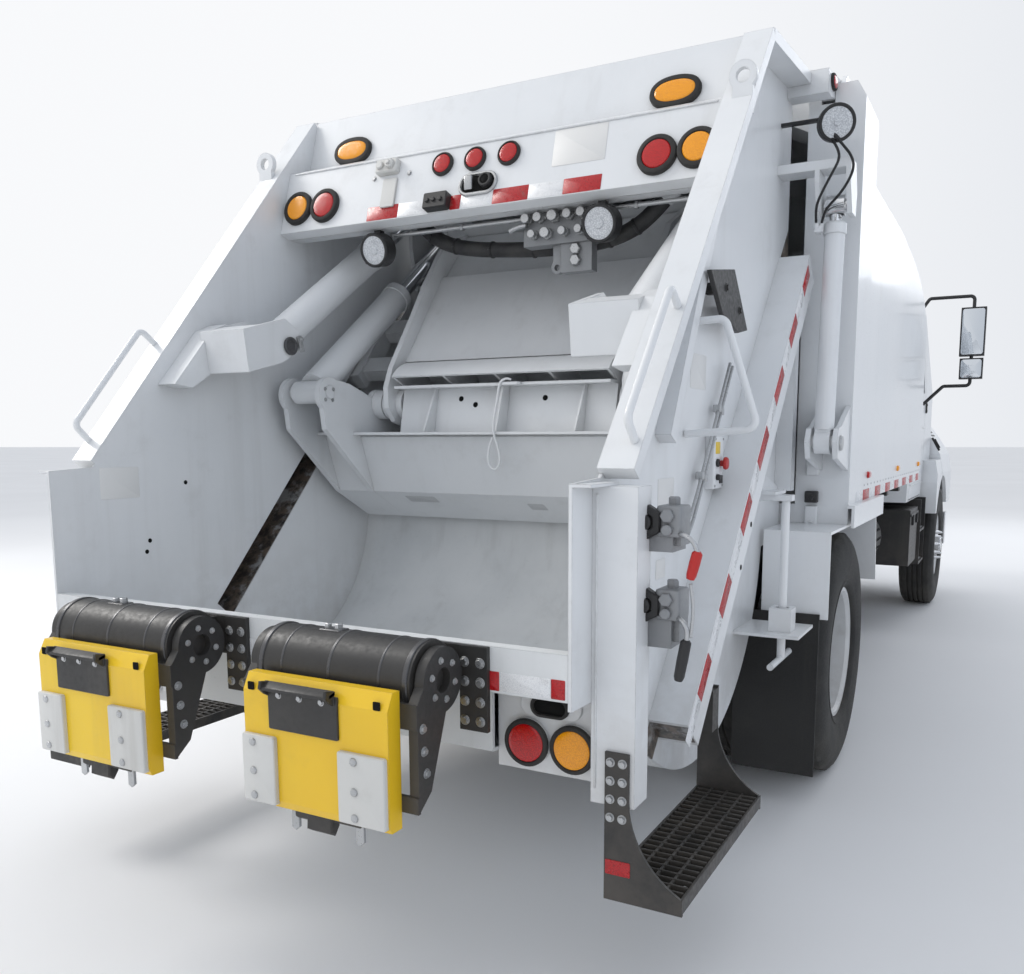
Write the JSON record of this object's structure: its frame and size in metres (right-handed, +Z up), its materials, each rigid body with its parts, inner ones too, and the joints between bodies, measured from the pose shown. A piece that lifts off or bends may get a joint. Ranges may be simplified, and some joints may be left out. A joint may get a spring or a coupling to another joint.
{
  "type": "rear-loader garbage truck",
  "caption": "Rear-loading garbage truck with conventional cab, round-sided body, lifting tailgate, slide-and-sweep packer and tipping cart lifters.",
  "frame": {"origin": "on the ground, at the middle of the overall length and width", "axes": "+X to the vehicle's left, +Y to the rear along the length, +Z up; the cab faces -Y"},
  "size_m": [3.06, 8.26, 3.1798],
  "materials": {
    "white_paint": "gloss white enamel",
    "black_paint": "black satin paint",
    "engine_grey": "painted casting",
    "clear_glass": "clear tinted",
    "grey_plastic": "grained grey",
    "black_plastic": "black grained",
    "bright_aluminium": "polished",
    "black_rubber": "matt black",
    "tyre_rubber": "matt black",
    "rim_paint": "white enamel",
    "valve_grey": "grey paint",
    "chrome_rod": "hard chrome",
    "yellow_paint": "safety yellow",
    "cable_rubber": "black sheath"
  },
  "bodies": {
    "truck": {"chassis_frame": "black_paint", "front_axle": "black_paint", "rear_axle": "black_paint", "engine_block": "engine_grey", "front_bumper": "white_paint", "cab_shell": "white_paint", "cab_glass": "clear_glass", "cab_interior": "grey_plastic", "fuel_tank": "bright_aluminium", "side_steps_and_tanks": "black_paint", "exhaust": "black_paint", "body_shell": "white_paint", "body_rear_ring": "white_paint", "rear_fenders": "white_paint", "mudflaps": "black_rubber"},
    "left_door": {"left_door": "white_paint", "left_door_glass": "clear_glass", "left_mirrors": "black_plastic"},
    "right_door": {"right_door": "white_paint", "right_door_glass": "clear_glass", "right_mirrors": "black_plastic"},
    "hood": {"hood": "white_paint"},
    "left_knuckle": {"left_knuckle": "black_paint"},
    "right_knuckle": {"right_knuckle": "black_paint"},
    "front_left_wheel": {"front_left_tyre": "tyre_rubber", "front_left_rim": "rim_paint"},
    "front_right_wheel": {"front_right_tyre": "tyre_rubber", "front_right_rim": "rim_paint"},
    "rear_left_wheels": {"rear_left_tyres": "tyre_rubber", "rear_left_rims": "rim_paint"},
    "rear_right_wheels": {"rear_right_tyres": "tyre_rubber", "rear_right_rims": "rim_paint"},
    "tailgate": {"hopper_left_side": "white_paint", "hopper_right_side": "white_paint", "hopper_floor": "white_paint", "header_panel": "white_paint", "riding_steps": "black_paint", "tail_lamp_boxes": "white_paint", "grab_handles": "white_paint", "hydraulic_valves": "valve_grey", "work_lamps": "black_plastic", "lifter_drums": "black_paint", "lamp_lead_inner": "cable_rubber", "lamp_lead_outer": "cable_rubber", "packer_hose_bundle": "cable_rubber", "tailgate_clamps": "white_paint"},
    "carriage": {"packer_carriage": "white_paint"},
    "blade": {"sweep_blade": "white_paint"},
    "slide_barrels": {"slide_cylinder_barrels": "white_paint"},
    "slide_rods": {"slide_cylinder_rods": "chrome_rod"},
    "sweep_barrels": {"sweep_cylinder_barrels": "white_paint"},
    "sweep_rods": {"sweep_cylinder_rods": "chrome_rod"},
    "lift_barrels": {"lift_cylinder_barrels": "white_paint"},
    "lift_rods": {"lift_cylinder_rods": "chrome_rod"},
    "left_lifter": {"left_lifter_arms": "black_paint", "left_lifter_plate": "yellow_paint"},
    "right_lifter": {"right_lifter_arms": "black_paint", "right_lifter_plate": "yellow_paint"},
    "ejector": {"ejector_panel": "white_paint"}
  },
  "joints": [
    {"name": "left_steer", "type": "hinge", "parent": "truck", "child": "left_knuckle", "pos_m": [0.905, -3.13, 0.527], "axis": [0, 0, 1], "range_deg": [-33, 33]},
    {"name": "right_steer", "type": "hinge", "parent": "truck", "child": "right_knuckle", "pos_m": [-0.905, -3.13, 0.527], "axis": [0, 0, 1], "range_deg": [-33, 33]},
    {"name": "front_left_wheel_spin", "type": "hinge", "parent": "left_knuckle", "child": "front_left_wheel", "pos_m": [1.075, -3.13, 0.527], "axis": [1, 0, 0], "continuous": true},
    {"name": "front_right_wheel_spin", "type": "hinge", "parent": "right_knuckle", "child": "front_right_wheel", "pos_m": [-1.075, -3.13, 0.527], "axis": [1, 0, 0], "continuous": true},
    {"name": "rear_left_wheel_spin", "type": "hinge", "parent": "truck", "child": "rear_left_wheels", "pos_m": [0.9, 1.61, 0.527], "axis": [1, 0, 0], "continuous": true},
    {"name": "rear_right_wheel_spin", "type": "hinge", "parent": "truck", "child": "rear_right_wheels", "pos_m": [-0.9, 1.61, 0.527], "axis": [1, 0, 0], "continuous": true},
    {"name": "left_door_hinge", "type": "hinge", "parent": "truck", "child": "left_door", "pos_m": [1.112, -2.448, 1.7], "axis": [0, 0, -1], "range_deg": [0, 65]},
    {"name": "right_door_hinge", "type": "hinge", "parent": "truck", "child": "right_door", "pos_m": [-1.112, -2.448, 1.7], "axis": [0, 0, 1], "range_deg": [0, 65]},
    {"name": "hood_tilt", "type": "hinge", "parent": "truck", "child": "hood", "pos_m": [0, -4.04, 0.88], "axis": [1, 0, 0], "range_deg": [0, 60]},
    {"name": "tailgate_lift", "type": "hinge", "parent": "truck", "child": "tailgate", "pos_m": [0, 1.66, 2.86], "axis": [1, 0, 0], "range_deg": [0, 60]},
    {"name": "packer_slide", "type": "slide", "parent": "tailgate", "child": "carriage", "axis": [0, 0.6695, -0.7428], "range_m": [0, 0.7]},
    {"name": "blade_sweep", "type": "hinge", "parent": "carriage", "child": "blade", "pos_m": [0, 2.48, 1.61], "axis": [1, 0, 0], "range_deg": [0, 90]},
    {"name": "slide_cylinder_tilt", "type": "hinge", "parent": "tailgate", "child": "slide_barrels", "pos_m": [0, 3.04, 1.81], "axis": [1, 0, 0], "range_deg": [0, 11]},
    {"name": "slide_cylinder_stroke", "type": "slide", "parent": "slide_barrels", "child": "slide_rods", "axis": [0, -0.8189, 0.5739], "range_m": [-0.7, 0]},
    {"name": "sweep_cylinder_tilt", "type": "hinge", "parent": "blade", "child": "sweep_barrels", "pos_m": [0, 2.81, 1.65], "axis": [1, 0, 0], "range_deg": [-92, 0]},
    {"name": "sweep_cylinder_stroke", "type": "slide", "parent": "sweep_barrels", "child": "sweep_rods", "axis": [0, -0.7935, 0.6086], "range_m": [-0.48, 0]},
    {"name": "lift_cylinder_tilt", "type": "hinge", "parent": "truck", "child": "lift_barrels", "pos_m": [0, 2.03, 1.45], "axis": [1, 0, 0], "range_deg": [-15, 0]},
    {"name": "lift_cylinder_stroke", "type": "slide", "parent": "lift_barrels", "child": "lift_rods", "axis": [0, -0.0775, 0.997], "range_m": [0, 0.54]},
    {"name": "left_lifter_swing", "type": "hinge", "parent": "tailgate", "child": "left_lifter", "pos_m": [0.4, 3.975, 0.895], "axis": [1, 0, 0], "range_deg": [0, 130]},
    {"name": "right_lifter_swing", "type": "hinge", "parent": "tailgate", "child": "right_lifter", "pos_m": [-0.4, 3.975, 0.895], "axis": [1, 0, 0], "range_deg": [0, 130]},
    {"name": "ejector_push", "type": "slide", "parent": "truck", "child": "ejector", "axis": [0, 1, 0], "range_m": [0, 2.25]}
  ],
  "couplings": [
    {"joint": "slide_cylinder_tilt", "follows": "packer_slide", "rad_per_m": 0.25522},
    {"joint": "slide_cylinder_stroke", "follows": "packer_slide", "ratio": -0.95449},
    {"joint": "sweep_cylinder_tilt", "follows": "blade_sweep", "ratio": -0.99621},
    {"joint": "sweep_cylinder_stroke", "follows": "blade_sweep", "m_per_rad": -0.29925},
    {"joint": "lift_cylinder_tilt", "follows": "tailgate_lift", "ratio": -0.22254},
    {"joint": "lift_cylinder_stroke", "follows": "tailgate_lift", "m_per_rad": 0.50549},
    {"joint": "right_steer", "follows": "left_steer", "ratio": 1}
  ]
}
